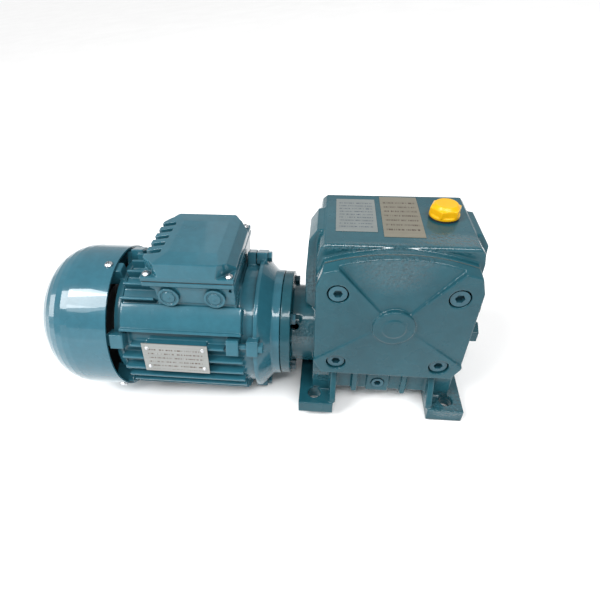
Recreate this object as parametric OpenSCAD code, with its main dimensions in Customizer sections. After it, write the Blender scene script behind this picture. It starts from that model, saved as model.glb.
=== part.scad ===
// Worm gearbox with a flange-mounted three-phase motor. Units are millimetres.
// X runs along the motor and the worm, Y along the output shaft, Z up from the feet.

/* [Gear set] */
// Height of the worm and motor axis above the feet
worm_h = 50; // [45:1:80]
// Distance between the worm axis and the wheel axis
centre_dist = 50; // [45:1:80]
// Axial module of the worm
gear_module = 2.5; // [1.5:0.1:4]
// Pitch radius of the worm
worm_pitch_r = 12.5; // [10:0.5:20]
// Number of teeth on the wheel
wheel_teeth = 30; // [20:1:60]
// Width of the wheel rim
rim_w = 20; // [12:1:30]
// Thread thinning that leaves running clearance
backlash = 0.3; // [0.1:0.05:0.6]

/* [Gear case] */
// Half width of the case
case_half_w = 56; // [50:1:70]
// Front face of the case
case_front_y = -44; // [-60:1:-40]
// Front edge of the case top, set back behind the cover flange
case_top_y = -39; // [-44:0.5:-36]
// Rear face of the case
case_back_y = 41; // [36:1:60]
// Height of the case top
case_top_z = 155; // [150:1:180]
// Underside of the oil sump
belly_z = 18; // [15:1:24]
// Radius of the wheel chamber
chamber_r = 43; // [42:0.5:46]
// Radius of the neck round the input bearing
neck_r = 33.4; // [30:0.2:38]
// Radius of the input flange
flange_r = 45.3; // [42:0.1:60]
// Motor side of the input flange
flange_x = -84.5; // [-100:0.5:-76]
// Thickness of the input flange
flange_t = 8.5; // [6:0.5:12]

/* [Feet] */
// Spacing of the foot holes along X
foot_dx = 110; // [90:1:140]
// Spacing of the foot holes along Y
foot_dy = 95; // [80:1:120]
// Radius of the foot holes
foot_hole_r = 5.5; // [3:0.5:8]
// Thickness of the foot rails
foot_t = 12; // [8:0.5:16]
// Inner side of each foot rail
foot_x0 = 39; // [35:1:45]
// Outer side of each foot rail
foot_x1 = 68; // [62:1:75]
// Half length of the foot rails
foot_half_y = 59.5; // [55:0.5:70]

/* [Front cover] */
// Outer face of the cover plate
cover_face_y = -53; // [-60:1:-50]
// Face of the raised boss and sectors
boss_face_y = -58; // [-64:1:-55]
// Top of the cover arch
cover_top_z = 153; // [145:1:160]
// Depth of the sloping upper panel at the arch
panel_drop = 9; // [4:0.5:10]
// Bottom of the cover
cover_low_z = 47; // [42:1:52]
// Radius of the cover arch
arch_r = 154; // [100:1:220]
// Upper screw position
screw_up = [40.6, 125.2];
// Lower screw position
screw_low = [38.9, 59.7];

/* [Output shaft] */
// Radius of the shaft extension
out_r = 8.5; // [7:0.5:12]
// End of the shaft extension
out_end_y = 97; // [90:1:120]
// Length of the shaft extension
out_len = 40; // [25:1:50]
// Radius of the bearing journals
out_journal_r = 10; // [8:0.5:15]
// Radius of the wheel seat
wheel_seat_r = 12; // [10:0.5:18]

/* [Motor] */
// Radius of the motor shell
shell_r = 52.5; // [48:0.5:60]
// Radius over the cooling fins
fin_r = 60; // [54:0.5:66]
// Angle between neighbouring fins
fin_step = 11.25; // [8:0.25:15]
// Angle of the highest fin below the ledge
low_fin_angle = 5.5; // [-5:0.5:10]
// Fin thickness
fin_t = 2.4; // [1.5:0.1:4]
// Drive end of the frame
frame_x1 = -104; // [-110:1:-100]
// Fan end of the frame
frame_x0 = -212; // [-240:1:-200]
// Radius of the bore for the stator
stator_r = 48; // [44:0.5:54]
// Radius of the fan cowl
cowl_r = 63; // [58:0.5:70]
// Open rim of the cowl
cowl_x1 = -220; // [-230:1:-214]
// Closed end of the cowl
cowl_x0 = -290; // [-310:1:-280]
// Sheet thickness of the cowl
cowl_t = 1.5; // [0.8:0.1:3]
// Radius of the motor shaft at the coupling
motor_shaft_r = 5.5; // [4:0.5:10]
// Angle of the first pair of lugs above the horizontal
lug_angle = 20; // [10:1:45]
// Radius of the circle the tie bolts lie on
lug_bolt_r = 58.5; // [55:0.5:62]

/* [Terminal box] */
// Left side of the box
box_x0 = -187.4; // [-200:0.2:-170]
// Right side of the box
box_x1 = -116.2; // [-130:0.2:-110]
// Half width of the box along Y
box_half_y = 40.8; // [30:0.2:50]
// Underside of the box
box_low_z = 97; // [95:1:99]
// Raised seat in the middle of the frame under the box
seat_z = 100; // [100:0.5:103]
// Joint between the box and its lid
box_joint_z = 118.5; // [114:0.5:130]
// Top of the lid
lid_top_z = 135.3; // [130:0.1:150]

/* [Hidden] */
$fn = 64;
out_h = worm_h + centre_dist;
wheel_pitch_r = gear_module * wheel_teeth / 2;
worm_tip_r = worm_pitch_r + gear_module;
worm_root_r = worm_pitch_r - 1.2 * gear_module;
lead = PI * gear_module;
eps = 0.1;
slip = 0.02;
run_gap = 0.03;
groove_gap = 0.08;
box_mid_x = (box_x0 + box_x1) / 2;
filler_xy = [33.5, 4];
lug_angles = [lug_angle, lug_angle + 90, lug_angle + 180, lug_angle + 270];
cap_bolt_r = 25.5;
flange_bolt_r = 37.5;
rim_inner_r = 28;
rim_screw_r = 31;
bore_left_r = 23.5;
bore_right_r = 20;
out_bearing_r = 21;
small_bearing_r = 16;

// ---------- helpers ----------

// Cylinder along X on the worm axis
module xcyl(x0, x1, r) {
  translate([x0, 0, worm_h]) rotate([0, 90, 0]) cylinder(h = x1 - x0, r = r);
}

// Ring along X on the worm axis
module xring(x0, x1, ro, ri) {
  difference() {
    xcyl(x0, x1, ro);
    xcyl(x0 - eps, x1 + eps, ri);
  }
}

// Cylinder along Y on the wheel axis
module ycyl(y0, y1, r) {
  translate([0, y0, out_h]) rotate([-90, 0, 0]) cylinder(h = y1 - y0, r = r);
}

// Ring along Y on the wheel axis
module yring(y0, y1, ro, ri) {
  difference() {
    ycyl(y0, y1, ro);
    ycyl(y0 - eps, y1 + eps, ri);
  }
}

// Outline of [radius, x] points turned about the worm axis
module xturn(points) {
  translate([0, 0, worm_h]) rotate([0, 90, 0]) rotate_extrude() polygon(points);
}

// Outline of [radius, y] points turned about the wheel axis
module yturn(points) {
  translate([0, 0, out_h]) rotate([-90, 0, 0]) rotate_extrude() polygon(points);
}

// Block given by its two corners
module block(a, b) {
  translate(a) cube(b - a);
}

// Children placed round the motor axis, angle measured up from the front horizontal
module round_motor(angle, r) {
  translate([0, 0, worm_h]) rotate([-angle, 0, 0]) translate([0, -r, 0]) children();
}

// Outline of [x, z] points carried along Y
module extrude_y(y0, y1, points) {
  translate([0, y1, 0]) rotate([90, 0, 0]) linear_extrude(height = y1 - y0) polygon(points);
}

// Outline of [y, z] points carried along X
module extrude_x(x0, x1, points) {
  translate([x0, 0, 0]) rotate([90, 0, 90]) linear_extrude(height = x1 - x0) polygon(points);
}

// Hexagon bolt head with its axis along +Z
module hex_head(across, h) {
  cylinder(h = h, r = across / sqrt(3), $fn = 6);
}

// Socket screw along +Z with its head above z = 0
module socket_screw(r, len, head_r, head_h, socket) {
  difference() {
    union() {
      translate([0, 0, -len]) cylinder(h = len + eps, r = r);
      cylinder(h = head_h, r = head_r);
    }
    translate([0, 0, head_h * 0.45]) hex_head(socket, head_h);
  }
}

// Hexagon screw along +Z with its head above z = 0
module hex_screw(r, len, across, head_h) {
  union() {
    translate([0, 0, -len]) cylinder(h = len + eps, r = r);
    hex_head(across, head_h);
  }
}

// Cross-recessed pan screw along +Z with its head above z = 0
module pan_screw(r, len, head_r, head_h) {
  difference() {
    union() {
      translate([0, 0, -len]) cylinder(h = len + eps, r = r);
      cylinder(h = head_h * 0.5, r = head_r);
      translate([0, 0, head_h * 0.5 - 0.01]) cylinder(h = head_h * 0.5, r1 = head_r, r2 = head_r * 0.6);
    }
    for (a = [0, 90])
      rotate([0, 0, a]) translate([-head_r * 0.55, -head_r * 0.13, head_h * 0.5])
        cube([head_r * 1.1, head_r * 0.26, head_h]);
  }
}

// Deep-groove bearing parts centred on z = 0
module bearing_outer(ro, ri, w) {
  mid = (ro + ri) / 2;
  ball = 0.3 * (ro - ri);
  rotate_extrude() difference() {
    translate([mid + 0.5 * ball, -w / 2]) square([ro - mid - 0.5 * ball, w]);
    translate([mid, 0]) circle(r = ball + groove_gap, $fn = 32);
  }
}

module bearing_inner(ro, ri, w) {
  mid = (ro + ri) / 2;
  ball = 0.3 * (ro - ri);
  rotate_extrude() difference() {
    translate([ri, -w / 2]) square([mid - 0.5 * ball - ri, w]);
    translate([mid, 0]) circle(r = ball + groove_gap, $fn = 32);
  }
}

module bearing_balls(ro, ri, count) {
  mid = (ro + ri) / 2;
  ball = 0.3 * (ro - ri);
  difference() {
    translate([0, 0, -ball * 0.4]) cylinder(h = ball * 0.8, r = mid + ball * 0.3);
    translate([0, 0, -ball]) cylinder(h = ball * 2, r = mid - ball * 0.3);
  }
  for (i = [0 : count - 1])
    rotate([0, 0, i * 360 / count]) translate([mid, 0, 0]) sphere(r = ball);
}

// Child carried onto the worm axis or the wheel axis
module on_worm_axis(x) {
  translate([x, 0, worm_h]) rotate([0, 90, 0]) children();
}

module on_wheel_axis(y) {
  translate([0, y, out_h]) rotate([-90, 0, 0]) children();
}

// ---------- gear case ----------

// Arched slab shared by the case flange, the cover and its gasket; draft thins the arch towards the front
module arch_slab(y0, y1, inset, draft = 0) {
  w = case_half_w - inset;
  top = cover_top_z - inset;
  low = cover_low_z + inset;
  intersection() {
    extrude_y(y0, y1, [
      [-w + 6, low], [w - 6, low], [w, low + 12], [w, top - 24], [w - 3, top - 14],
      [w - 8, top], [-w + 8, top], [-w + 3, top - 14], [-w, top - 24], [-w, low + 12]
    ]);
    translate([0, y0, top - arch_r]) rotate([-90, 0, 0])
      cylinder(h = y1 - y0, r1 = arch_r - draft, r2 = arch_r, $fn = 128);
  }
}

module case_body() {
  w = case_half_w;
  t = case_top_z;
  intersection() {
    extrude_y(case_front_y, case_back_y, [
      [-37, belly_z], [37, belly_z], [39, 26], [39, 44], [w - 3, 46], [w, 58], [w, t - 12],
      [w - 1.5, t - 4], [w - 5, t], [-w + 5, t], [-w + 1.5, t - 4], [-w, t - 12], [-w, 58],
      [-w + 3, 46], [-39, 44], [-39, 26]
    ]);
    extrude_x(-w - 1, w + 1, [
      [case_front_y, belly_z], [case_back_y, belly_z], [case_back_y, t - 8], [case_back_y - 5, t],
      [case_top_y + 1.5, t], [case_top_y, t - 1.5], [case_top_y, out_h], [case_front_y, out_h]
    ]);
  }
}

module foot_rail() {
  difference() {
    union() {
      block([foot_x0, -foot_half_y, 0], [foot_x1, foot_half_y, foot_t]);
      block([37, case_front_y + 1, foot_t - 2], [57, case_back_y, 48]);
      for (s = [0, 1])
        mirror([0, s, 0]) extrude_x(foot_x0 - 2, foot_x0 + 3, [
          [-foot_half_y + 2, foot_t - 1], [-foot_half_y + 2, foot_t + 3], [case_front_y, 42],
          [case_front_y + 4, 42], [case_front_y + 4, foot_t - 1]
        ]);
    }
    for (s = [-1, 1])
      translate([foot_dx / 2, s * foot_dy / 2, -eps]) cylinder(h = foot_t + 2, r = foot_hole_r);
  }
}

module cover_screw_points() {
  for (s = [-1, 1], p = [screw_up, screw_low])
    translate([s * p[0], 0, p[1]]) rotate([90, 0, 0]) children();
}

module cap_bolt_points(x) {
  for (a = [45 : 90 : 315])
    translate([x, cap_bolt_r * cos(a), worm_h + cap_bolt_r * sin(a)]) rotate([0, 90, 0]) children();
}

module flange_bolt_points(x) {
  for (a = [45 : 90 : 315])
    translate([x, flange_bolt_r * cos(a), worm_h + flange_bolt_r * sin(a)]) rotate([0, 90, 0]) children();
}

module output_cap_points(y) {
  for (a = [45 : 90 : 315])
    translate([28.5 * cos(a), y, out_h + 28.5 * sin(a)]) rotate([-90, 0, 0]) children();
}

module housing() {
  color([0.16, 0.42, 0.47]) difference() {
    union() {
      case_body();
      arch_slab(case_front_y, case_top_y + 1, 0);
      foot_rail();
      mirror([1, 0, 0]) foot_rail();
      // input neck, flange and right-hand bearing boss
      xcyl(flange_x, flange_x + flange_t, flange_r);
      xcyl(flange_x + 1, -36, neck_r);
      xcyl(36, 58, 31);
      // rear bearing boss
      ycyl(case_back_y - 1, case_back_y + 3, 35);
      // pillars over the worm bearings
      extrude_y(-17, 17, [[-50, 154], [-57, 153], [-63, 144], [-65, 115], [-65, 86], [-50, 74]]);
      extrude_y(-17, 17, [[50, 154], [57, 153], [63, 144], [65, 115], [65, 93], [58, 87], [50, 87]]);
      // side bosses for the level plug and the casting ears
      translate([50, -31, 77]) rotate([0, 90, 0]) cylinder(h = 8.5, r = 9.5);
      extrude_y(-36, -22, [
        [50, 112], [60, 108], [64, 104], [64, 99], [59, 96], [62, 92], [60, 86], [50, 84]
      ]);
      // front ribs, drain boss
      for (x = [-22, 18]) block([x - 2.2, case_front_y - 4, belly_z - 1], [x + 2.2, case_front_y + 2, 47]);
      block([-12, case_front_y - 2.5, belly_z], [6, case_front_y + 2, 40]);
    }
    // wheel chamber, worm tunnel and sump
    ycyl(case_front_y - eps, 24, chamber_r);
    xcyl(-41, 39, 18);
    block([-30, -36, 26], [30, 34, 60]);
    // input side bores
    xcyl(-64.5, -40, bore_left_r);
    xcyl(-56, -54, bore_left_r + 1.2);
    xcyl(flange_x - eps, -64, 24.5);
    xcyl(flange_x - eps, -81.5, 30.05);
    // right-hand bearing bore
    xcyl(38, 58 + eps, bore_right_r);
    // output bearing bore and shaft hole
    ycyl(28, case_back_y + 4, out_bearing_r);
    ycyl(23, 29, 16);
    // screw and bolt holes
    cover_screw_points() translate([0, 0, 28]) cylinder(h = 17, r = 4);
    cap_bolt_points(45) cylinder(h = 14, r = 2.5);
    flange_bolt_points(flange_x - eps) cylinder(h = flange_t + 1, r = 2.75);
    flange_bolt_points(flange_x + flange_t) cylinder(h = 8, r = 5.4);
    output_cap_points(32) cylinder(h = 13, r = 2.5);
    // filler, level and drain holes
    translate([filler_xy[0], filler_xy[1], 120]) cylinder(h = 40, r = 8);
    translate([30, -31, 77]) rotate([0, 90, 0]) cylinder(h = 30, r = 5);
    translate([-3, case_front_y - 4, 28]) rotate([-90, 0, 0]) cylinder(h = 12, r = 5);
    // drip hole in the neck
    translate([-73, 0, worm_h]) rotate([55, 0, 0]) translate([0, 0, 20]) cylinder(h = 20, r = 3);
  }
}

module front_cover() {
  up = out_h + 2.5;
  hub_y = boss_face_y;
  mate_y = case_front_y - 0.5;
  color([0.17, 0.44, 0.49]) difference() {
    union() {
      intersection() {
        arch_slab(boss_face_y, mate_y, 0, 3);
        union() {
          extrude_y(hub_y + panel_drop - 0.5, mate_y + 1, [[-62, 26], [62, 26], [62, 172], [-62, 172]]);
          // upper panel slopes back towards the arch
          intersection() {
            extrude_x(-60, 60, [
              [mate_y + 2, up - 6], [mate_y + 2, 170], [hub_y + panel_drop + 3, 170], [hub_y + 0.4, up],
              [hub_y + 0.4, up - 6]
            ]);
            extrude_y(hub_y - 3, mate_y + 7, [
              [0, up - 2.2], [63, up + 66.8], [63, 180], [-63, 180], [-63, up + 66.8]
            ]);
          }
          // side panels slope back towards the edges
          for (s = [-1, 1])
            intersection() {
              translate([0, 0, 32]) linear_extrude(height = 136) polygon([
                [s, mate_y + 3], [s, hub_y + 0.2], [s * 64, cover_face_y], [s * 64, mate_y + 3]
              ]);
              extrude_y(hub_y - 1, mate_y + 4, [
                [s * 3, up + 1.2], [s * 62, up + 66], [s * 62, up - 46.3], [s * 3, up + 0.9]
              ]);
            }
          // lower panel stands out a little
          intersection() {
            extrude_x(-59, 59, [
              [mate_y + 5, 34], [mate_y + 5, up + 2], [hub_y + 0.3, up + 2], [hub_y + 2.6, 34]
            ]);
            extrude_y(hub_y - 2, mate_y + 6, [
              [0, up + 3.4], [-61, up - 45.4], [-61, 28], [61, 28], [61, up - 45.4]
            ]);
          }
        }
      }
      // central boss
      ycyl(boss_face_y - 1.2, mate_y, 15);
      ycyl(boss_face_y - 2, mate_y, 8);
      // spigot and bearing boss
      yring(case_front_y - 0.6, -39, chamber_r - slip, 38);
      ycyl(case_front_y - 0.6, -30, 29);
    }
    ycyl(-42.5, -29, out_bearing_r);
    cover_screw_points() {
      translate([0, 0, 40]) cylinder(h = 22, r = 4.2);
      translate([0, 0, 47.5]) cylinder(h = 20, r = 7.5);
    }
  }
}

module cover_gasket() {
  color([0.25, 0.24, 0.2]) difference() {
    arch_slab(case_front_y - 0.5, case_front_y, 0.4);
    ycyl(case_front_y - 1, case_front_y + 1, chamber_r + 0.2);
    cover_screw_points() translate([0, 0, 40]) cylinder(h = 10, r = 4.3);
  }
}

module cover_screws() {
  color([0.2, 0.3, 0.33]) cover_screw_points()
    translate([0, 0, 47.5]) socket_screw(3.95, 18, 6.5, 6.5, 6);
}

// ---------- output side ----------

module output_cap() {
  color([0.16, 0.42, 0.47]) difference() {
    yturn([
      [17, 40], [out_bearing_r - 0.05, 40], [out_bearing_r - 0.05, 44], [35, 44], [35, 49], [23.5, 49],
      [22.8, 52.5], [17.5, 52.5], [17.5, 45.2], [12, 45.2], [12, 42], [17, 42]
    ]);
    output_cap_points(43) cylinder(h = 7, r = 2.7);
  }
}

module output_cap_screws() {
  color([0.55, 0.56, 0.58]) output_cap_points(49) hex_screw(2.45, 15, 8, 3.5);
}

module output_seal() {
  color([0.12, 0.12, 0.13]) difference() {
    yring(45.4, 52.3, 17.5 - slip, out_journal_r + run_gap);
    yring(50.5, 53, 15.5, 11.2);
  }
}

module output_bearing_outer() {
  color([0.7, 0.71, 0.73]) for (y = [-36, 34])
    on_wheel_axis(y) bearing_outer(out_bearing_r, out_journal_r, 12);
}

module output_bearing_balls() {
  color([0.75, 0.76, 0.78]) for (y = [-36, 34])
    on_wheel_axis(y) bearing_balls(out_bearing_r, out_journal_r, 9);
}

module output_bearing_inner() {
  color([0.7, 0.71, 0.73]) for (y = [-36, 34])
    on_wheel_axis(y) bearing_inner(out_bearing_r, out_journal_r + slip, 12);
}

module wheel_spacers() {
  color([0.5, 0.51, 0.53]) {
    yring(-30, -22, 12.8, out_journal_r + slip);
    yring(22, 28, 12.8, out_journal_r + slip);
  }
}

module output_shaft() {
  slot_y0 = out_end_y - 15.5;
  slot_y1 = out_end_y - 4;
  color([0.72, 0.73, 0.75]) difference() {
    yturn([
      [0, -41.5], [9, -41.5], [out_journal_r, -40.5], [out_journal_r, -22], [wheel_seat_r, -22],
      [wheel_seat_r, 22], [out_journal_r, 22], [out_journal_r, 56], [out_r, out_end_y - out_len],
      [out_r, out_end_y - 1], [out_r - 1, out_end_y], [0, out_end_y]
    ]);
    // open keyway of the shaft extension
    block([-2.5, slot_y0, out_h + out_r - 3], [2.5, slot_y1, out_h + 12]);
    for (y = [slot_y0, slot_y1])
      translate([0, y, out_h + out_r - 3]) cylinder(h = 6, r = 2.5);
    // seat of the wheel key
    block([-4, -15, out_h + 8], [4, 15, out_h + 14]);
    // thread in the shaft end
    ycyl(out_end_y - 14, out_end_y + 1, 2.5);
  }
}

module wheel_key() {
  color([0.6, 0.6, 0.62])
    block([-4 + slip, -15 + slip, out_h + 8], [4 - slip, 15 - slip, out_h + 15]);
}

module rim_screw_points() {
  for (a = [0 : 60 : 300])
    translate([rim_screw_r * cos(a), -13, out_h + rim_screw_r * sin(a)]) rotate([90, 0, 0]) children();
}

module wheel_hub() {
  color([0.35, 0.36, 0.37]) difference() {
    yturn([
      [wheel_seat_r + slip, -22], [18, -22], [18, -13], [34, -13], [34, -10], [rim_inner_r - slip, -10],
      [rim_inner_r - slip, 8], [18, 8], [18, 22], [wheel_seat_r + slip, 22]
    ]);
    block([-4, -23, out_h + 11], [4, 23, out_h + 15.1]);
    rim_screw_points() translate([0, 0, -5]) cylinder(h = 10, r = 2.1);
    for (a = [30 : 60 : 330])
      translate([23 * cos(a), -20, out_h + 23 * sin(a)]) rotate([-90, 0, 0]) cylinder(h = 40, r = 2.8);
  }
}

// Half angle of a tooth at a given radius
base_r = wheel_pitch_r * cos(20);
function inv_deg(a) = tan(a) * 180 / PI - a;
function press(r) = r <= base_r ? 0 : acos(base_r / r);
function half_tooth(r) =
  ((PI * gear_module - 2 * backlash) / 4 / wheel_pitch_r) * 180 / PI + inv_deg(20) - inv_deg(press(r));
tooth_radii = [for (h = [-3.2, -2, -0.6, 1, 2.5]) wheel_pitch_r + h];
pitch_deg = 360 / wheel_teeth;
wheel_twist = rim_w * gear_module / (2 * worm_pitch_r) / wheel_pitch_r * 180 / PI;

module wheel_rim() {
  outline = [
    for (i = [0 : wheel_teeth - 1])
      let (mid = 90 + (i + 0.5) * pitch_deg)
        for (k = [0 : 9])
          let (r = k < 5 ? tooth_radii[k] : tooth_radii[9 - k])
            let (a = mid + (k < 5 ? -1 : 1) * half_tooth(r))
              [r * cos(a), r * sin(a)]
  ];
  color([0.78, 0.57, 0.25]) difference() {
    on_wheel_axis(0) rotate([0, 0, -wheel_twist / 2])
      linear_extrude(height = rim_w, center = true, twist = -wheel_twist, slices = 6) polygon(outline);
    ycyl(-rim_w, rim_w, rim_inner_r);
    rim_screw_points() translate([0, 0, -19]) cylinder(h = 20, r = 2.1);
  }
}

module rim_screws() {
  color([0.3, 0.3, 0.32]) rim_screw_points() socket_screw(2, 17, 3.4, 3.2, 3);
}

// ---------- worm side ----------

module worm_cap() {
  color([0.16, 0.42, 0.47]) difference() {
    xturn([
      [14, 50], [bore_right_r - 0.05, 50], [bore_right_r - 0.05, 58.5], [30, 58.5], [30, 63], [20.6, 63],
      [19.4, 65], [0, 65], [0, 56], [14, 56]
    ]);
    cap_bolt_points(58) cylinder(h = 6, r = 2.7);
  }
}

module worm_cap_gasket() {
  color([0.25, 0.24, 0.2]) difference() {
    xring(58, 58.5, 29.8, 20);
    cap_bolt_points(57) cylinder(h = 3, r = 2.8);
  }
}

module worm_cap_screws() {
  color([0.2, 0.4, 0.44]) cap_bolt_points(63) hex_screw(2.45, 17, 8, 3.5);
}

module worm_seal() {
  color([0.12, 0.12, 0.13]) difference() {
    xring(-63, -56, bore_left_r - slip, 10 + run_gap);
    xring(-64, -61.5, 21, 11.5);
  }
}

module worm_circlip() {
  color([0.3, 0.3, 0.32]) difference() {
    xring(-55.9, -54.1, bore_left_r + 1.1, 20.8);
    block([-60, -4, worm_h - 30], [-50, 4, worm_h - 15]);
  }
}

module worm_bearing_outer() {
  color([0.7, 0.71, 0.73]) {
    on_worm_axis(-47) bearing_outer(bore_left_r, 10, 14);
    on_worm_axis(44) bearing_outer(bore_right_r, 8.5, 12);
  }
}

module worm_bearing_balls() {
  color([0.75, 0.76, 0.78]) {
    on_worm_axis(-47) bearing_balls(bore_left_r, 10, 8);
    on_worm_axis(44) bearing_balls(bore_right_r, 8.5, 7);
  }
}

module worm_bearing_inner() {
  color([0.7, 0.71, 0.73]) {
    on_worm_axis(-47) bearing_inner(bore_left_r, 10 + slip, 14);
    on_worm_axis(44) bearing_inner(bore_right_r, 8.5 + slip, 12);
  }
}

// Right-hand thread swept along the worm axis
module worm_thread(x0, x1, steps) {
  root = worm_root_r - 0.4;
  wt = lead / 4 - (worm_tip_r - worm_pitch_r) * tan(20) - backlash / 4;
  wb = lead / 4 + (worm_pitch_r - root) * tan(20) - backlash / 4;
  shape = [[-wb, root], [-wt, worm_tip_r], [wt, worm_tip_r], [wb, root]];
  points = [
    for (i = [0 : steps])
      let (x = x0 + (x1 - x0) * i / steps)
        let (a = 90 + 360 * x / lead)
          for (p = shape) [x + p[0], p[1] * cos(a), worm_h + p[1] * sin(a)]
  ];
  last = 4 * steps;
  faces = concat(
    [[2, 1, 0], [3, 2, 0], [last, last + 1, last + 2], [last, last + 2, last + 3]],
    [for (i = [0 : steps - 1], j = [0 : 3])
      [4 * i + (j + 1) % 4, 4 * i + 4 + j, 4 * i + j]],
    [for (i = [0 : steps - 1], j = [0 : 3])
      [4 * i + 4 + (j + 1) % 4, 4 * i + 4 + j, 4 * i + (j + 1) % 4]]
  );
  polyhedron(points = points, faces = faces);
}

module worm_shaft() {
  color([0.62, 0.63, 0.65]) difference() {
    union() {
      xturn([
        [0, -80], [9.5, -80], [10, -79.5], [10, -40], [12.7, -40], [12.7, -36], [worm_root_r, -30],
        [worm_root_r, 28], [11, 34], [11, 38], [8.5, 38], [8.5, 53.5], [7.5, 54.5], [0, 54.5]
      ]);
      worm_thread(-16, 16, 130);
    }
    xcyl(-81, -60, motor_shaft_r + slip);
    block([-81, -2, worm_h], [-63.9, 2, worm_h + 7.05]);
  }
}

module coupling_key() {
  color([0.6, 0.6, 0.62])
    block([-78, -2 + slip, worm_h + 3], [-64, 2 - slip, worm_h + 7]);
}

// ---------- plugs and labels ----------

module filler_plug() {
  color([0.95, 0.78, 0.05]) translate([filler_xy[0], filler_xy[1], 0]) {
    translate([0, 0, 140]) cylinder(h = 17, r = 7.95);
    translate([0, 0, 156.3]) cylinder(h = 2, r = 10.8);
    translate([0, 0, 158.2]) rotate([0, 0, 8]) hex_head(19.6, 5.2);
    translate([0, 0, 163.3]) cylinder(h = 2.4, r1 = 9.8, r2 = 7.8);
  }
}

module filler_washer() {
  color([0.1, 0.1, 0.1]) translate([filler_xy[0], filler_xy[1], case_top_z]) difference() {
    cylinder(h = 1.3, r = 10.4);
    translate([0, 0, -1]) cylinder(h = 4, r = 8.1);
  }
}

module level_plug() {
  color([0.2, 0.45, 0.5]) translate([58.5, -31, 77]) rotate([0, 90, 0]) {
    cylinder(h = 1.2, r = 8.8);
    translate([0, 0, 1]) hex_head(15, 7.5);
    translate([0, 0, -13]) cylinder(h = 14, r = 4.95);
  }
}

module drain_plug() {
  color([0.25, 0.3, 0.32]) translate([-3, case_front_y - 3, 28]) rotate([-90, 0, 0]) difference() {
    cylinder(h = 9, r = 4.95);
    translate([0, 0, -1]) hex_head(5, 5);
  }
}

module label_left() {
  color([0.8, 0.82, 0.85]) block([-44, -21, case_top_z], [-15, 28, case_top_z + 0.3]);
}

module label_right() {
  color([0.78, 0.74, 0.66]) block([-11, -27, case_top_z], [17, 33, case_top_z + 0.3]);
}

module flange_bolts() {
  color([0.2, 0.4, 0.44]) flange_bolt_points(flange_x + flange_t) hex_screw(2.45, 16, 8, 3.7);
}

// ---------- motor ----------

module front_shield() {
  color([0.2, 0.48, 0.54]) difference() {
    union() {
      xturn([
        [8, -82], [30, -82], [30, flange_x], [46, flange_x], [46, -91], [57, -101], [57, frame_x1],
        [stator_r - 0.05, frame_x1], [stator_r - 0.05, -108], [44, -108], [44, -97], [21, -97], [21, -101],
        [small_bearing_r, -101], [small_bearing_r, -91], [8, -91]
      ]);
      for (a = lug_angles) round_motor(a, lug_bolt_r) block([-108, -4.5, -6.5], [-99, 5.9, 6.5]);
    }
    for (a = lug_angles) round_motor(a, lug_bolt_r) {
      translate([-110, 0, 0]) rotate([0, 90, 0]) cylinder(h = 14, r = 2.6);
      translate([-99, 0, 0]) rotate([0, 90, 0]) cylinder(h = 8, r = 5.4);
    }
    flange_bolt_points(-94) cylinder(h = 10, r = 2.5);
  }
}

low_fin_angles = [for (k = [0 : 8]) low_fin_angle - k * fin_step];

module fin(a, x0, x1) {
  round_motor(a, fin_r) block([x0, 0, -fin_t / 2], [x1, fin_r - shell_r + 1, fin_t / 2]);
}

// Motor side of the lug that takes each tie bolt; the upper one ends before the terminal box
function lug_x0(a) = a == lug_angle + 90 ? box_x1 + 0.4 : -124;
function lug_x1(a) = a == lug_angle + 90 ? -108.5 : -114;

// Fins, shoulder and ledge of the front half; the rear half mirrors them
module frame_half() {
  for (a = low_fin_angles) fin(a, frame_x0 + 1, -112);
  fin(low_fin_angle + fin_step, frame_x0 + 9, -126);
  fin(29, frame_x0 + 1, -112.5);
  for (k = [0 : 2]) fin(54 + k * 12, frame_x0 + 1, -183.5);
  intersection() {
    xcyl(frame_x0 + 1.5, -113, 58.5);
    extrude_x(frame_x0 + 1.5, -113, [
      [-20, worm_h + 11.1], [-64, worm_h + 35.5], [-52, worm_h + 62], [-20, worm_h + 24]
    ]);
  }
}

module motor_frame() {
  color([0.2, 0.48, 0.54]) difference() {
    union() {
      xcyl(frame_x0, frame_x1, shell_r);
      frame_half();
      mirror([0, 1, 0]) frame_half();
      fin(90, frame_x0 + 1, -183.5);
      // pad under the terminal box
      block([-180, -36, 85], [-117, 36, box_low_z]);
      block([-180, -27.9, 90], [-117, 27.9, seat_z]);
      // nameplate pad
      round_motor(8, fin_r + 0.4) block([-190, 0, -11], [-141, 9, 11]);
      // lugs at both ends
      for (a = lug_angles) {
        round_motor(a, lug_bolt_r) block([lug_x0(a), -4.5, -6.5], [lug_x1(a), 7, 6.5]);
        round_motor(a, 56) block([-218, -6, -6], [-211.5, 3.4, 6]);
        round_motor(a, 56) block([-211.6, -6, -5.9], [-207, 5, 5.9]);
      }
    }
    xcyl(frame_x0 - 1, frame_x1 + 1, stator_r);
    for (a = lug_angles) {
      round_motor(a, lug_bolt_r) translate([-125, 0, 0]) rotate([0, 90, 0]) cylinder(h = 17, r = 2.5);
      round_motor(a, 56) translate([-219, 0, 0]) rotate([0, 90, 0]) cylinder(h = 11, r = 2);
    }
    // flat seat under the terminal box and the wire hole
    block([-180, -28, seat_z], [box_x1 + 0.3, 28, seat_z + 13]);
    translate([box_mid_x, 0, 85]) cylinder(h = 20, r = 8);
  }
}

module tie_bolts() {
  color([0.5, 0.52, 0.54]) for (a = lug_angles)
    round_motor(a, lug_bolt_r) translate([-99, 0, 0]) rotate([0, 90, 0])
      hex_screw(2.45, a == lug_angle + 90 ? 16 : 22, 8, 3.5);
}

cowl_screw_angles = [80, 214, 320];
cowl_screw_x = -226;

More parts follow.
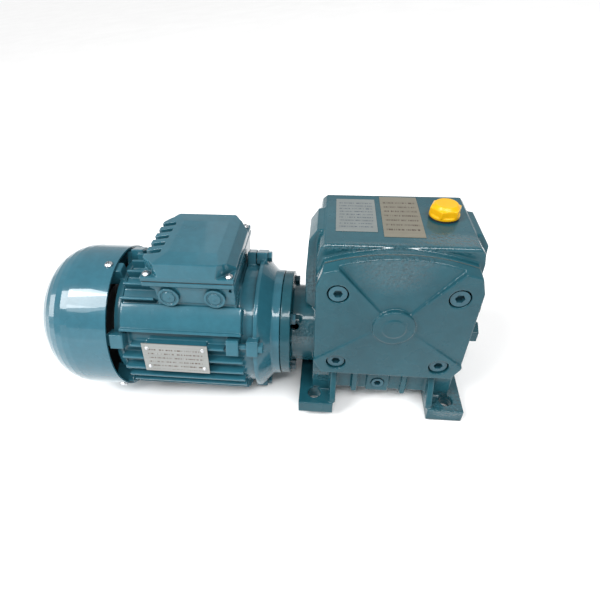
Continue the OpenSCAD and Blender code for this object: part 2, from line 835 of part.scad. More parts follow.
module rear_shield() {
  color([0.2, 0.48, 0.54]) difference() {
    union() {
      xturn([
        [7, -225], [22, -225], [24, -222], [shell_r, -218], [shell_r, frame_x0],
        [stator_r - 0.05, frame_x0], [stator_r - 0.05, -208], [44, -208], [44, -214], [21, -214],
        [21, -211], [small_bearing_r, -211], [small_bearing_r, -222], [7, -222]
      ]);
      for (a = lug_angles) round_motor(a, 56) block([-222, -3.8, -5], [-218, 11, 5]);
      for (a = cowl_screw_angles) round_motor(a, 61.15) block([-231, 0, -5], [-215, 16, 5]);
    }
    for (a = lug_angles)
      round_motor(a, 56) translate([-223, 0, 0]) rotate([0, 90, 0]) cylinder(h = 6, r = 2.1);
    for (a = cowl_screw_angles)
      round_motor(a, 62) translate([cowl_screw_x, 0, 0]) rotate([-90, 0, 0]) cylinder(h = 12, r = 1.6);
  }
}

module rear_bolts() {
  color([0.4, 0.41, 0.43]) for (a = lug_angles)
    round_motor(a, 56) translate([-222, 0, 0]) rotate([0, -90, 0]) socket_screw(1.95, 12, 3.5, 3.5, 3);
}

module stator_core() {
  color([0.42, 0.43, 0.45]) difference() {
    xring(-190, -130, stator_r - slip, 25.3);
    for (a = [0 : 15 : 345]) round_motor(a, 42) block([-191, 0, -1.4], [-129, 14, 1.4]);
  }
}

module windings() {
  color([0.72, 0.4, 0.2]) {
    xturn([[28, -190], [43.5, -190], [43.5, -200], [40, -205], [32, -205], [28, -200]]);
    xturn([[28, -130], [28, -120], [32, -114], [40, -114], [43.5, -120], [43.5, -130]]);
  }
}

module wave_spring() {
  color([0.5, 0.51, 0.53]) xring(-222, -221.05, 15.5, 12.5);
}

module motor_bearing_outer() {
  color([0.7, 0.71, 0.73]) for (x = [-96, -216])
    on_worm_axis(x) bearing_outer(small_bearing_r, 6, 10);
}

module motor_bearing_balls() {
  color([0.75, 0.76, 0.78]) for (x = [-96, -216])
    on_worm_axis(x) bearing_balls(small_bearing_r, 6, 7);
}

module motor_bearing_inner() {
  color([0.7, 0.71, 0.73]) for (x = [-96, -216])
    on_worm_axis(x) bearing_inner(small_bearing_r, 6 + slip, 10);
}

module motor_shaft() {
  color([0.62, 0.63, 0.65]) difference() {
    xturn([
      [0, -61.5], [5, -61.5], [motor_shaft_r, -62.2], [motor_shaft_r, -85], [6, -85.5], [6, -101],
      [8, -101], [8, -211], [6, -211], [6, -224], [5, -224], [5, -254], [4.6, -254], [4.6, -255.2],
      [5, -255.2], [5, -257], [0, -257]
    ]);
    block([-78.1, -2, worm_h + 3], [-61, 2, worm_h + 8]);
  }
}

module rotor_core() {
  color([0.5, 0.51, 0.53]) {
    xring(-190, -130, 24.7, 8 + slip);
    xring(-195, -189.9, 23.5, 14);
    xring(-130.1, -125, 23.5, 14);
  }
}

module fan() {
  color([0.15, 0.15, 0.16]) difference() {
    union() {
      xcyl(-254, -236, 11);
      xcyl(-238, -236, 30);
      for (i = [0 : 6])
        rotate_about_motor(i * 360 / 7) block([-251, -52, -1], [-236, -8, 1]);
    }
    xcyl(-255, -235, 5 + slip);
  }
}

module rotate_about_motor(a) {
  translate([0, 0, worm_h]) rotate([a, 0, 0]) children();
}

module fan_clip() {
  color([0.3, 0.3, 0.32]) xring(-255.2, -254, 8, 4.6 + slip);
}

module fan_cowl() {
  flat_r = 22;
  dome_x = -252;
  outer = [
    for (t = [0 : 9 : 90])
      [flat_r + (cowl_r - flat_r) * cos(t), dome_x + (cowl_x0 - dome_x) * sin(t)]
  ];
  inner = [
    for (t = [90 : -9 : 0])
      [flat_r + (cowl_r - cowl_t - flat_r) * cos(t), dome_x + (cowl_x0 + cowl_t - dome_x) * sin(t)]
  ];
  color([0.2, 0.48, 0.54]) difference() {
    xturn(concat(
      [[cowl_r, cowl_x1]], outer, [[0, cowl_x0], [0, cowl_x0 + cowl_t]], inner, [[cowl_r - cowl_t, cowl_x1]]
    ));
    for (a = [0 : 15 : 345])
      rotate_about_motor(a) block([cowl_x0 - 1, 16, -1.8], [cowl_x0 + 16, 41, 1.8]);
    for (a = cowl_screw_angles)
      round_motor(a, cowl_r + 1) translate([cowl_screw_x, 0, 0]) rotate([-90, 0, 0]) cylinder(h = 6, r = 2.1);
  }
}

module cowl_screws() {
  color([0.75, 0.76, 0.78]) for (a = cowl_screw_angles)
    round_motor(a, cowl_r) translate([cowl_screw_x, 0, 0]) rotate([90, 0, 0]) pan_screw(1.55, 9, 3.2, 2.2);
}

// ---------- terminal box ----------

knock_x = [-168.8, -132.7];
knock_z = 104;
lid_screw_xy = [[-183.2, -36.5], [-183.2, 36.5], [-120.2, -36.5], [-120.2, 36.5]];

module box_base() {
  j = box_joint_z;
  color([0.2, 0.5, 0.56]) difference() {
    intersection() {
      extrude_x(box_x0 - 1, box_x1 + 1, [
        [-37, box_low_z], [37, box_low_z], [38.2, j - 5.2], [box_half_y, j - 3.7], [box_half_y, j],
        [-box_half_y, j], [-box_half_y, j - 3.7], [-38.2, j - 5.2]
      ]);
      extrude_y(-box_half_y - 1, box_half_y + 1, [
        [-179, box_low_z], [-117.5, box_low_z], [-117, j - 6], [box_x1, j - 4], [box_x1, j],
        [box_x0, j], [box_x0, j - 4.5], [-179, j - 9]
      ]);
    }
    // seat recess, wiring space and the deeper side channels behind the entries
    block([-190, -28, box_low_z - 1], [-110, 28, seat_z]);
    block([-174, -35, seat_z + 3.5], [-123, 35, j + 1]);
    for (s = [-1, 1]) block([-174, s * 33 - 2, box_low_z + 2.5], [-123, s * 33 + 2, j]);
    translate([box_mid_x, 0, box_low_z - 1]) cylinder(h = 10, r = 8);
    for (p = lid_screw_xy) translate([p[0], p[1], j - 9]) cylinder(h = 10, r = 1.6);
    for (x = knock_x) translate([x, -42, knock_z]) rotate([-90, 0, 0]) cylinder(h = 10, r = 6.55);
  }
}

module box_gasket() {
  color([0.1, 0.1, 0.11]) difference() {
    block([box_x0 + 0.6, -box_half_y + 0.6, box_joint_z], [box_x1 - 0.6, box_half_y - 0.6, box_joint_z + 1]);
    block([-174, -35, box_joint_z - 1], [-123, 35, box_joint_z + 2]);
    for (p = lid_screw_xy) translate([p[0], p[1], box_joint_z - 1]) cylinder(h = 3, r = 2);
  }
}

module box_lid() {
  z0 = box_joint_z + 1;
  rim = z0 + 3.5;
  zt = lid_top_z;
  cut = 16;
  color([0.2, 0.5, 0.56]) difference() {
    intersection() {
      extrude_x(box_x0, box_x1, [
        [-box_half_y, z0], [box_half_y, z0], [box_half_y, rim], [38.4, zt - 1.6], [23.6, zt],
        [-23.6, zt], [-38.4, zt - 1.6], [-box_half_y, rim]
      ]);
      extrude_y(-box_half_y, box_half_y, [
        [box_x0, z0], [box_x1, z0], [box_x1, rim + 2], [-122, zt - 3.6], [-130.5, zt], [-168, zt],
        [box_x0, zt - 3.4]
      ]);
    }
    // wiring space
    block([-171, -32, z0 - 1], [-129, 32, z0 + 9]);
    block([-168, -23, z0], [-132, 23, zt - 2.3]);
    // slanted notches round the corner screws
    for (x = [[box_x0 - 1, 1], [box_x1 + 1, -1]], y = [[-box_half_y - 1, 1], [box_half_y + 1, -1]])
      translate([x[0], y[0], rim]) linear_extrude(height = 20)
        polygon([[0, 0], [x[1] * cut, 0], [0, y[1] * cut]]);
    for (p = lid_screw_xy) translate([p[0], p[1], z0 - 1]) {
      cylinder(h = 8, r = 2.1);
      translate([0, 0, rim - z0 + 1]) cylinder(h = 20, r = 4.4);
    }
    // grooves down the left flank
    for (y = [-20.5, -10.2, 0.1, 10.4, 20.7])
      block([box_x0 - 1, y - 2.4, rim + 1], [-174.5, y + 2.4, zt + 1]);
  }
}

module lid_screws() {
  color([0.75, 0.76, 0.78]) for (p = lid_screw_xy)
    translate([p[0], p[1], box_joint_z + 4.5]) pan_screw(1.55, 10, 2.9, 2.2);
}

module knockouts() {
  color([0.2, 0.5, 0.56]) for (x = knock_x)
    translate([x, -37.9, knock_z]) rotate([90, 0, 0]) difference() {
      union() {
        translate([0, 0, -5]) cylinder(h = 6, r = 6.5);
        translate([0, 0, 0.4]) cylinder(h = 1.9, r = 8.3);
        translate([0, 0, 0.4]) cylinder(h = 2.3, r = 1.1);
      }
      translate([0, 0, 1.5]) difference() {
        cylinder(h = 3, r = 6.4);
        translate([0, 0, -1]) cylinder(h = 5, r = 4.9);
      }
    }
}

board_z = seat_z + 3.5;

module terminal_board() {
  color([0.14, 0.1, 0.08]) difference() {
    union() {
      block([-168, -16, board_z], [-130, 16, board_z + 5]);
      block([-168, -1, board_z + 4], [-130, 1, board_z + 10]);
    }
    for (p = stud_points) translate([p[0], p[1], board_z + 2]) cylinder(h = 4, r = 1.95);
  }
}

stud_points = [for (x = [-160, -149, -138], y = [-9, 9]) [x, y]];

module terminal_studs() {
  color([0.8, 0.65, 0.3]) for (p = stud_points)
    translate([p[0], p[1], board_z + 2.05]) cylinder(h = 13, r = 1.9);
}

module terminal_nuts() {
  color([0.8, 0.68, 0.35]) for (p = stud_points)
    translate([p[0], p[1], board_z + 5]) difference() {
      hex_head(7, 3.2);
      translate([0, 0, -1]) cylinder(h = 6, r = 1.9 + slip);
    }
}

// ---------- motor nameplate ----------

module nameplate() {
  color([0.8, 0.78, 0.74]) round_motor(8, fin_r + 0.4) block([-192, -0.8, -13.5], [-139, 0, 13.5]);
}

module nameplate_rivets() {
  color([0.8, 0.8, 0.82]) for (x = [-188, -143], z = [-9, 9])
    round_motor(8, fin_r + 1.2) translate([x, 0, z]) rotate([90, 0, 0]) cylinder(h = 0.9, r1 = 1.6, r2 = 1);
}

// ---------- assembly ----------

housing();
front_cover();
cover_gasket();
cover_screws();
output_cap();
output_cap_screws();
output_seal();
output_bearing_outer();
output_bearing_balls();
worm_cap();
worm_cap_gasket();
worm_cap_screws();
worm_seal();
worm_circlip();
worm_bearing_outer();
worm_bearing_balls();
filler_plug();
filler_washer();
level_plug();
drain_plug();
label_left();
label_right();
flange_bolts();
front_shield();
motor_frame();
rear_shield();
tie_bolts();
rear_bolts();
stator_core();
windings();
wave_spring();
motor_bearing_outer();
motor_bearing_balls();
fan_cowl();
cowl_screws();
box_base();
box_gasket();
box_lid();
lid_screws();
knockouts();
terminal_board();
terminal_studs();
terminal_nuts();
nameplate();
nameplate_rivets();
output_shaft();
wheel_hub();
wheel_rim();
rim_screws();
wheel_key();
wheel_spacers();
output_bearing_inner();
worm_shaft();
worm_bearing_inner();
motor_shaft();
coupling_key();
rotor_core();
motor_bearing_inner();
fan();
fan_clip();
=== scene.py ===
import bpy
import math
from mathutils import Matrix, Vector

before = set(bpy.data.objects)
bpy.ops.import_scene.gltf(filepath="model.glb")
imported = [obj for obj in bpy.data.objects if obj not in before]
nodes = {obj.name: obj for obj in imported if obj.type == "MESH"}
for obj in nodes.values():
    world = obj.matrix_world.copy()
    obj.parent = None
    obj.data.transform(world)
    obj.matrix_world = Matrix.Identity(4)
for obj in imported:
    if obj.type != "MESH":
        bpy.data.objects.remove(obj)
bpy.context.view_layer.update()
scene = bpy.context.scene

ENAMEL_SPECULAR = 0.16
ENAMEL_COAT_IOR = 1.5
PAINTED_SHADE_REACH = 0.006  # metres over which corners get painted shade
RELAX = 0.5  # strength of one smoothing round
EDGE_ANGLE = 35.0
EDGE_WIDTH = 0.0003
PLATE_EDGE_WIDTH = 0.00012
DAYLIGHT = (0.95, 0.98, 1.0)


# ---------- materials ----------

class Mat:
    """Small helper around one procedural material."""

    def __init__(self, name):
        self.mat = bpy.data.materials.new(name)
        self.mat.use_nodes = True
        self.tree = self.mat.node_tree
        self.tree.nodes.clear()
        self.out = self.add("ShaderNodeOutputMaterial")
        self.bsdf = self.add("ShaderNodeBsdfPrincipled")
        self.link(self.bsdf, "BSDF", self.out, "Surface")
        self.coord = self.add("ShaderNodeTexCoord")

    def add(self, kind, **props):
        node = self.tree.nodes.new(kind)
        for key, value in props.items():
            setattr(node, key, value)
        return node

    def link(self, a, out, b, into):
        self.tree.links.new(a.outputs[out], b.inputs[into])

    def noise(self, scale, detail=3.0, rough=0.5):
        n = self.add("ShaderNodeTexNoise")
        n.inputs["Scale"].default_value = scale
        n.inputs["Detail"].default_value = detail
        n.inputs["Roughness"].default_value = rough
        self.link(self.coord, "Object", n, "Vector")
        return n

    def pimples(self, scale, smooth):
        n = self.add("ShaderNodeTexVoronoi", feature="SMOOTH_F1")
        n.inputs["Scale"].default_value = scale
        n.inputs["Smoothness"].default_value = smooth
        self.link(self.coord, "Object", n, "Vector")
        return n

    def ramp(self, src, out, stops):
        r = self.add("ShaderNodeValToRGB")
        els = r.color_ramp.elements
        while len(els) < len(stops):
            els.new(0.5)
        for el, (pos, col) in zip(els, stops):
            el.position = pos
            el.color = (col, col, col, 1) if isinstance(col, (int, float)) else (*col, 1)
        self.link(src, out, r, "Fac")
        return r

    def mix(self, fac, a, b, mode="MIX"):
        """Colour mix; each of fac, a and b is a number, a colour or (node, output)."""
        m = self.add("ShaderNodeMix", data_type="RGBA", blend_type=mode)
        for value, socket in ((fac, m.inputs[0]), (a, m.inputs[6]), (b, m.inputs[7])):
            if isinstance(value, tuple) and hasattr(value[0], "outputs"):
                self.tree.links.new(value[0].outputs[value[1]], socket)
            elif isinstance(value, (int, float)):
                socket.default_value = value
            else:
                socket.default_value = (*value, 1)
        return (m, 2)

    def math(self, op, a, b=0.0):
        m = self.add("ShaderNodeMath", operation=op)
        for value, socket in ((a, m.inputs[0]), (b, m.inputs[1])):
            if isinstance(value, tuple):
                self.tree.links.new(value[0].outputs[value[1]], socket)
            else:
                socket.default_value = value
        return (m, 0)

    def color(self, pair):
        self.tree.links.new(pair[0].outputs[pair[1]], self.bsdf.inputs["Base Color"])

    def rough(self, pair):
        self.tree.links.new(pair[0].outputs[pair[1]], self.bsdf.inputs["Roughness"])

    def bump(self, layers):
        """layers: [(height pair, distance in metres, strength number or pair)]"""
        last = None
        for height, distance, strength in layers:
            b = self.add("ShaderNodeBump")
            b.inputs["Distance"].default_value = distance
            if isinstance(strength, tuple):
                self.tree.links.new(strength[0].outputs[strength[1]], b.inputs["Strength"])
            else:
                b.inputs["Strength"].default_value = strength
            self.tree.links.new(height[0].outputs[height[1]], b.inputs["Height"])
            if last is not None:
                self.link(last, "Normal", b, "Normal")
            last = b
        self.link(last, "Normal", self.bsdf, "Normal")

    def set(self, **values):
        for key, value in values.items():
            self.bsdf.inputs[key.replace("_", " ")].default_value = value

    def near(self, center, radius, soft):
        """1 inside an ellipsoid round a point of the frame, fading to 0."""
        sub = self.add("ShaderNodeVectorMath", operation="SUBTRACT")
        self.link(self.coord, "Object", sub, 0)
        sub.inputs[1].default_value = center
        div = self.add("ShaderNodeVectorMath", operation="DIVIDE")
        self.link(sub, "Vector", div, 0)
        div.inputs[1].default_value = radius
        length = self.add("ShaderNodeVectorMath", operation="LENGTH")
        self.link(div, "Vector", length, 0)
        m = self.add("ShaderNodeMapRange", clamp=True)
        self.tree.links.new(length.outputs["Value"], m.inputs[0])
        m.inputs[1].default_value = 1.0
        m.inputs[2].default_value = 1.0 - soft
        m.inputs[3].default_value = 0.0
        m.inputs[4].default_value = 1.0
        return (m, 0)


def paint(name, base, dark, light, rough, orange_peel, cast, coat, coat_rough, spots=()):
    """Gloss enamel over metal: tone drift, painted shade in corners, orange peel and coarse cast spots."""
    m = Mat(name)
    tone = m.noise(14.0, 3.0, 0.55)
    fine = m.noise(160.0, 4.0, 0.6)
    tone_r = m.ramp(tone, "Fac", [(0.3, dark), (0.5, base), (0.72, light)])
    speck = m.ramp(fine, "Fac", [(0.42, 0.82), (0.62, 1.08)])
    col = m.mix(0.35, (tone_r, "Color"), (speck, "Color"), "MULTIPLY")
    # painted shade: ambient occlusion darkens the base colour in corners, creases and recesses
    ao = m.add("ShaderNodeAmbientOcclusion", samples=6)
    ao.inputs["Distance"].default_value = PAINTED_SHADE_REACH
    corner_shade = m.ramp(ao, "AO", [(0.35, 0.45), (0.9, 1.0)])
    col = m.mix(0.8, col, (corner_shade, "Color"), "MULTIPLY")
    m.color(col)
    rough_n = m.ramp(m.noise(45.0, 3.0), "Fac", [(0.3, rough * 0.8), (0.7, rough * 1.3)])
    m.rough((rough_n, "Color"))
    peel = m.noise(380.0, 2.0, 0.45)
    waves = m.noise(55.0, 2.0, 0.5)
    layers = [((waves, "Fac"), 0.0012, cast * 0.35), ((peel, "Fac"), 0.0004, orange_peel)]
    if spots:
        total = None
        for spot in spots:
            part = m.near(*spot)
            total = part if total is None else m.math("MAXIMUM", total, part)
        pimple = m.pimples(420.0, 0.35)
        grit = m.noise(620.0, 3.0, 0.6)
        layers.append(((pimple, "Distance"), 0.0016, total))
        layers.append(((grit, "Fac"), 0.0008, m.math("MULTIPLY", total, 0.6)))
    m.bump(layers)
    m.set(Metallic=0.0, Specular_IOR_Level=ENAMEL_SPECULAR, Coat_Weight=coat, Coat_Roughness=coat_rough,
          Coat_IOR=ENAMEL_COAT_IOR)
    if spots:
        gloss = m.math("ADD", m.math("MULTIPLY", total, 1.0 - coat), coat)
        m.tree.links.new(gloss[0].outputs[0], m.bsdf.inputs["Coat Weight"])
    return m.mat


# centre, radii and softness of each patch where the casting is coarse and glitters
CAST_SPOTS = [
    ((-0.004, -0.052, 0.144), (0.030, 0.016, 0.020), 0.6),
    ((0.036, -0.030, 0.154), (0.036, 0.012, 0.008), 0.6),
    ((-0.010, -0.038, 0.154), (0.060, 0.005, 0.006), 0.6),
    ((-0.006, -0.049, 0.150), (0.046, 0.006, 0.006), 0.5),
    ((-0.070, -0.027, 0.062), (0.018, 0.020, 0.014), 0.5),
    ((0.056, -0.050, 0.012), (0.020, 0.020, 0.010), 0.4),
    ((-0.050, -0.046, 0.030), (0.014, 0.010, 0.010), 0.5),
    ((-0.060, 0.0, 0.110), (0.012, 0.030, 0.030), 0.6),
]
cast_paint = paint("cast_enamel", (0.009, 0.062, 0.083), (0.007, 0.049, 0.067), (0.013, 0.074, 0.097),
                   rough=0.26, orange_peel=0.16, cast=0.5, coat=0.30, coat_rough=0.05, spots=CAST_SPOTS)
motor_paint = paint("motor_enamel", (0.020, 0.102, 0.140), (0.017, 0.089, 0.124), (0.025, 0.114, 0.155),
                    rough=0.22, orange_peel=0.07, cast=0.14, coat=0.5, coat_rough=0.06)
cowl_paint = paint("cowl_enamel", (0.024, 0.112, 0.155), (0.020, 0.099, 0.138), (0.028, 0.122, 0.168),
                   rough=0.22, orange_peel=0.03, cast=0.06, coat=0.75, coat_rough=0.03)
screw_paint = paint("screw_enamel", (0.016, 0.078, 0.108), (0.008, 0.045, 0.064), (0.026, 0.105, 0.140),
                    rough=0.3, orange_peel=0.10, cast=0.25, coat=0.5, coat_rough=0.08)


def metal(name, base, rough, scratch=0.5, dirt=0.4):
    """Bare metal with fine grain and darker patches."""
    m = Mat(name)
    grain = m.noise(420.0, 4.0, 0.6)
    patch = m.noise(38.0, 4.0, 0.6)
    tone = m.ramp(patch, "Fac", [(0.3, tuple(c * (1 - 0.35 * dirt) for c in base)), (0.65, base)])
    speck = m.ramp(grain, "Fac", [(0.4, 0.7), (0.65, 1.0)])
    col = m.mix(0.25, (tone, "Color"), (speck, "Color"), "MULTIPLY")
    m.color(col)
    m.rough((m.ramp(patch, "Fac", [(0.25, rough * 1.35), (0.7, rough * 0.85)]), "Color"))
    m.bump([((grain, "Fac"), 0.00012, scratch)])
    m.set(Metallic=1.0)
    return m.mat


def turned(name, base, rough, axis):
    """Turned steel: fine rings round the given axis (0 X, 1 Y)."""
    m = Mat(name)
    wave = m.add("ShaderNodeTexWave", wave_type="BANDS", bands_direction="XYZ"[axis], wave_profile="SIN")
    wave.inputs["Scale"].default_value = 520.0
    wave.inputs["Distortion"].default_value = 0.6
    wave.inputs["Detail"].default_value = 2.0
    m.link(m.coord, "Object", wave, "Vector")
    patch = m.noise(60.0, 4.0, 0.6)
    tone = m.ramp(patch, "Fac", [(0.3, tuple(c * 0.82 for c in base)), (0.7, base)])
    m.color((tone, "Color"))
    m.rough((m.ramp(patch, "Fac", [(0.3, rough * 1.4), (0.7, rough * 0.8)]), "Color"))
    m.bump([((wave, "Fac"), 0.00008, 0.35)])
    m.set(Metallic=1.0)
    return m.mat


def plastic(name, base, rough, grain=0.25, coat=0.0, spec=0.5):
    """Moulded plastic, rubber or fibre."""
    m = Mat(name)
    n = m.noise(300.0, 4.0, 0.6)
    patch = m.noise(30.0, 3.0, 0.55)
    m.color((m.ramp(patch, "Fac", [(0.3, tuple(c * 0.88 for c in base)), (0.7, base)]), "Color"))
    m.rough((m.ramp(patch, "Fac", [(0.3, rough * 1.25), (0.7, rough * 0.85)]), "Color"))
    m.bump([((n, "Fac"), 0.0002, grain)])
    m.set(Coat_Weight=coat, Coat_Roughness=0.15, IOR=1.47, Specular_IOR_Level=spec)
    return m.mat


bright_steel = metal("zinc_screw", (0.62, 0.64, 0.66), 0.28)
dark_steel = metal("painted_screw", (0.075, 0.12, 0.14), 0.36)
bearing_steel = turned("bearing_steel", (0.66, 0.67, 0.69), 0.16, 1)
shaft_steel = turned("shaft_steel", (0.56, 0.57, 0.58), 0.24, 1)
worm_steel = turned("worm_steel", (0.52, 0.53, 0.55), 0.2, 0)
grey_iron = metal("grey_iron", (0.2, 0.2, 0.205), 0.5, 0.9, 0.7)
bronze = metal("wheel_bronze", (0.66, 0.42, 0.16), 0.27, 0.5, 0.5)
copper = metal("varnished_copper", (0.5, 0.2, 0.07), 0.35, 0.9, 0.5)
lamination = turned("laminations", (0.3, 0.31, 0.33), 0.38, 0)
rubber = plastic("black_rubber", (0.012, 0.012, 0.013), 0.62, 0.5)
gasket = plastic("fibre_gasket", (0.075, 0.10, 0.10), 0.75, 0.6)
black_plastic = plastic("black_plastic", (0.018, 0.018, 0.019), 0.42)
yellow_plastic = plastic("yellow_plastic", (0.70, 0.375, 0.002), 0.3, 0.12, 0.12, 0.2)


def foil(name, base, mark, rows, box, across="Y", rough=0.34):
    """Brushed foil plate with rows of meaningless dashes inside the box given in metres."""
    m = Mat(name)
    sep = m.add("ShaderNodeSeparateXYZ")
    m.link(m.coord, "Object", sep, "Vector")
    (x0, x1), (y0, y1) = box

    def unit(out, lo, hi):
        r = m.add("ShaderNodeMapRange", clamp=False)
        m.tree.links.new(sep.outputs[out], r.inputs[0])
        r.inputs[1].default_value = lo
        r.inputs[2].default_value = hi
        return (r, 0)

    u = unit("X", x0, x1)
    v = unit(across, y0, y1)
    row = m.math("FRACT", m.math("MULTIPLY", v, rows))
    in_row = m.math("MULTIPLY", m.math("GREATER_THAN", row, 0.34), m.math("LESS_THAN", row, 0.66))
    comb = m.add("ShaderNodeCombineXYZ")
    m.tree.links.new(m.math("MULTIPLY", u, 46.0)[0].outputs[0], comb.inputs[0])
    m.tree.links.new(m.math("FLOOR", m.math("MULTIPLY", v, rows))[0].outputs[0], comb.inputs[1])
    cells = m.add("ShaderNodeTexNoise")
    cells.inputs["Scale"].default_value = 1.35
    cells.inputs["Detail"].default_value = 1.0
    m.link(comb, "Vector", cells, "Vector")
    dash = m.math("MULTIPLY", in_row, m.math("GREATER_THAN", (cells, "Fac"), 0.5))
    inside_u = m.math("MULTIPLY", m.math("GREATER_THAN", u, 0.08), m.math("LESS_THAN", u, 0.92))
    inside_v = m.math("MULTIPLY", m.math("GREATER_THAN", v, 0.08), m.math("LESS_THAN", v, 0.90))
    inside = m.math("MULTIPLY", inside_u, inside_v)
    ink = m.math("MULTIPLY", dash, inside)
    brush = m.add("ShaderNodeTexNoise")
    mp = m.add("ShaderNodeMapping")
    mp.inputs["Scale"].default_value = (30.0, 900.0, 900.0)
    m.link(m.coord, "Object", mp, "Vector")
    m.link(mp, "Vector", brush, "Vector")
    brush.inputs["Scale"].default_value = 1.0
    tone = m.ramp(brush, "Fac", [(0.3, tuple(c * 0.86 for c in base)), (0.7, base)])
    wear = m.ramp(m.noise(90.0, 4.0, 0.65), "Fac", [(0.4, 0.0), (0.75, 0.5)])
    col = m.mix(ink, (tone, "Color"), mark)
    col = m.mix((wear, "Color"), col, tuple(c * 0.8 for c in base))
    m.color(col)
    m.rough((m.ramp(m.noise(70.0, 3.0), "Fac", [(0.3, rough * 0.8), (0.7, rough * 1.4)]), "Color"))
    m.bump([((brush, "Fac"), 0.00006, 0.5), ((m.noise(60.0, 2.0), "Fac"), 0.0006, 0.25)])
    m.set(Metallic=0.65)
    return m.mat


label_left_foil = foil("label_foil_a", (0.27, 0.30, 0.295), (0.05, 0.07, 0.11), 11,
                       ((-0.044, -0.015), (-0.021, 0.028)))
label_right_foil = foil("label_foil_b", (0.26, 0.245, 0.195), (0.07, 0.045, 0.035), 9,
                        ((-0.011, 0.017), (-0.027, 0.033)))
nameplate_foil = foil("nameplate_foil", (0.30, 0.31, 0.30), (0.10, 0.07, 0.06), 7,
                      ((-0.192, -0.139), (0.045, 0.072)), across="Z")

LOOKS = {
    "housing": cast_paint, "front_cover": cast_paint, "output_cap": cast_paint, "worm_cap": cast_paint,
    "level_plug": cast_paint, "cover_gasket": gasket, "worm_cap_gasket": gasket, "cover_screws": screw_paint,
    "output_cap_screws": bright_steel, "worm_cap_screws": screw_paint, "output_seal": rubber,
    "worm_seal": rubber, "worm_circlip": dark_steel, "filler_plug": yellow_plastic, "filler_washer": rubber,
    "drain_plug": screw_paint, "label_left": label_left_foil, "label_right": label_right_foil,
    "flange_bolts": screw_paint, "front_shield": motor_paint, "motor_frame": motor_paint,
    "rear_shield": motor_paint, "fan_cowl": cowl_paint, "box_base": motor_paint, "box_lid": motor_paint,
    "knockouts": motor_paint, "tie_bolts": motor_paint, "rear_bolts": screw_paint, "stator_core": lamination,
    "windings": copper, "wave_spring": bearing_steel, "cowl_screws": bright_steel, "box_gasket": rubber,
    "lid_screws": bright_steel, "terminal_board": black_plastic, "terminal_studs": bronze,
    "terminal_nuts": bronze, "nameplate": nameplate_foil, "nameplate_rivets": bright_steel,
    "output_shaft": shaft_steel, "wheel_hub": grey_iron, "wheel_rim": bronze, "rim_screws": dark_steel,
    "wheel_key": shaft_steel, "wheel_spacers": shaft_steel, "worm_shaft": worm_steel,
    "motor_shaft": worm_steel, "coupling_key": shaft_steel, "rotor_core": lamination, "fan": black_plastic,
    "fan_clip": dark_steel,
}
# the bearings and whatever else isn't listed are ground steel
for name, obj in nodes.items():
    obj.data.materials.clear()
    obj.data.materials.append(LOOKS.get(name, bearing_steel))


# ---------- cast and moulded edges ----------

def soften(name, voxel, rounds):
    """Remesh a casting finely and relax it so that its edges round off."""
    obj = nodes[name]
    remesh = obj.modifiers.new("skin", "REMESH")
    remesh.mode = "VOXEL"
    remesh.voxel_size = voxel * 1.0
    remesh.use_smooth_shade = True
    relax = obj.modifiers.new("relax", "SMOOTH")
    relax.factor = RELAX
    relax.iterations = max(2, int(rounds / (1)))


def edge(name, width):
    """Small rounding on the sharp edges of a machined or stamped piece."""
    obj = nodes[name]
    for poly in obj.data.polygons:
        poly.use_smooth = True
    bevel = obj.modifiers.new("edge", "BEVEL")
    bevel.width = width
    bevel.segments = 2
    bevel.limit_method = "ANGLE"
    bevel.angle_limit = math.radians(EDGE_ANGLE)
    bevel.harden_normals = True
    bevel.use_clamp_overlap = True


for name, voxel, rounds in [
    ("housing", 0.0006, 14), ("front_cover", 0.0006, 10), ("output_cap", 0.0005, 6), ("worm_cap", 0.0005, 8),
    ("front_shield", 0.0005, 8), ("motor_frame", 0.00055, 5), ("rear_shield", 0.0006, 4),
    ("box_base", 0.0005, 6), ("box_lid", 0.0004, 6), ("knockouts", 0.0003, 4),
    ("filler_plug", 0.00035, 5), ("level_plug", 0.0004, 3),
]:
    soften(name, voxel, rounds)
for name in ["cover_screws", "flange_bolts", "tie_bolts", "lid_screws", "cowl_screws", "worm_cap_screws",
             "output_cap_screws", "output_shaft", "drain_plug", "label_left", "label_right", "nameplate",
             "filler_washer", "box_gasket", "cover_gasket", "output_seal"]:
    edge(name, PLATE_EDGE_WIDTH if "label" in name or name == "nameplate" else EDGE_WIDTH)


# ---------- stage ----------

def camera_like(loc, yaw, pitch, roll, lens, shift):
    """Camera from a place, compass yaw, downward pitch and roll in degrees."""
    y, p, r = (math.radians(a) for a in (yaw, pitch, roll))
    fwd = Vector((math.sin(y) * math.cos(p), math.cos(y) * math.cos(p), -math.sin(p)))
    right = Vector((math.cos(y), -math.sin(y), 0.0))
    down = fwd.cross(right)
    right2 = right * math.cos(r) + down * math.sin(r)
    down2 = down * math.cos(r) - right * math.sin(r)
    rot = Matrix((right2, -down2, -fwd)).transposed().to_4x4()
    data = bpy.data.cameras.new("camera")
    data.lens = lens
    data.sensor_width = 36.0
    data.shift_x, data.shift_y = shift
    data.clip_start = 0.01
    cam = bpy.data.objects.new("camera", data)
    cam.matrix_world = Matrix.Translation(loc) @ rot
    scene.collection.objects.link(cam)
    scene.camera = cam


camera_like(Vector((-0.04897, -0.29636, 0.31463)), yaw=-6.99, pitch=40.5, roll=1.95, lens=26.737,
            shift=(0.0276, 0.0214))


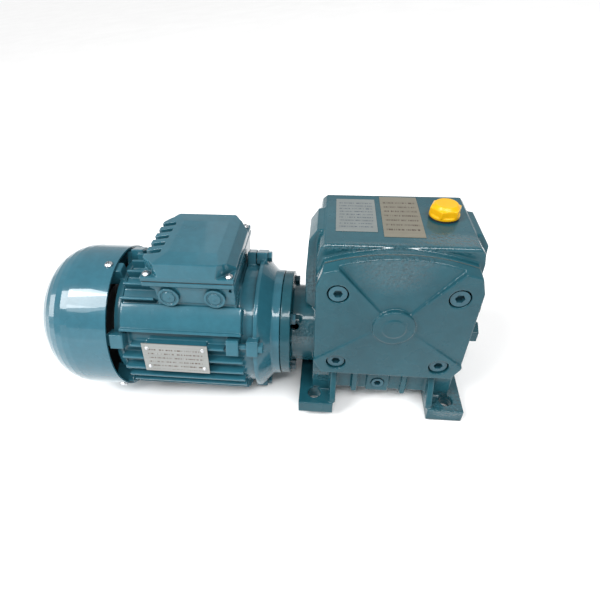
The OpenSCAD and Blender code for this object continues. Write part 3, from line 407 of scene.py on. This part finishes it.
def aimed(name, point, toward, distance, size_x, size_y, radiance, color=(1, 1, 1)):
    """Panel in a given direction from a point of the object, with a set brightness."""
    loc = Vector(point) + Vector(toward).normalized() * distance
    data = bpy.data.lights.new(name, "AREA")
    data.shape = "RECTANGLE"
    data.size, data.size_y = size_x, size_y
    data.energy = radiance * math.pi * size_x * size_y
    data.color = color
    obj = bpy.data.objects.new(name, data)
    obj.location = loc
    obj.rotation_euler = (Vector(point) - loc).to_track_quat("-Z", "Y").to_euler()
    scene.collection.objects.link(obj)


sun_data = bpy.data.lights.new("sky_light", "SUN")
sun_data.energy = 2.0
sun_data.angle = 0.45
sun = bpy.data.objects.new("sky_light", sun_data)
sun.rotation_euler = Vector((-0.60, -0.40, 0.70)).to_track_quat("Z", "Y").to_euler()
scene.collection.objects.link(sun)
aimed("window_a", (-0.25, -0.036, 0.100), (-0.51, -0.28, 0.81), 1.5, 0.24, 0.30, 19.0, DAYLIGHT)
aimed("window_b", (-0.25, -0.046, 0.091), (-0.51, -0.60, 0.62), 1.5, 0.20, 0.22, 5.0, DAYLIGHT)
aimed("low_front", (-0.25, -0.060, 0.060), (-0.52, -0.85, 0.02), 1.2, 0.8, 0.55, 0.9)
aimed("far_left", (-0.285, -0.020, 0.060), (-0.95, -0.15, 0.20), 1.1, 0.5, 0.35, 5.0)
aimed("ceiling", (0.0, -0.053, 0.150), (0.16, -0.50, 0.80), 1.4, 1.3, 0.20, 20.0)
aimed("rear_wall", (0.0, 0.0, 0.155), (0.10, 0.75, 0.60), 1.6, 1.6, 0.7, 0.5)

# the floor leans so that it meets the lower motor lug and the far toe of the feet
LUG_X, LUG_Z = -0.099, -0.0116
TOE_X = 0.068
FLOOR_GAP = 0.0003
SPAN = 14.0


def floor_z(x):
    return (x - TOE_X) * -LUG_Z / (TOE_X - LUG_X) - FLOOR_GAP


corners = [(-SPAN, -SPAN), (SPAN, -SPAN), (SPAN, SPAN), (-SPAN, SPAN)]
floor_mesh = bpy.data.meshes.new("floor")
floor_mesh.from_pydata([(x, y, floor_z(x)) for x, y in corners], [], [(0, 1, 2, 3)])
floor = bpy.data.objects.new("floor", floor_mesh)
scene.collection.objects.link(floor)
floor_mat = Mat("pale_floor")
floor_tone = floor_mat.ramp(floor_mat.noise(6.0, 2.0), "Fac", [(0.3, 0.93), (0.7, 0.96)])
floor_mat.color((floor_tone, "Color"))
floor_mat.set(Roughness=0.85)
floor.data.materials.append(floor_mat.mat)

world = bpy.data.worlds.new("world")
scene.world = world
world.use_nodes = True
bg = world.node_tree.nodes["Background"]
bg.inputs["Color"].default_value = (1.0, 1.0, 1.0, 1)
bg.inputs["Strength"].default_value = 0.55
scene.view_settings.view_transform = "Standard"
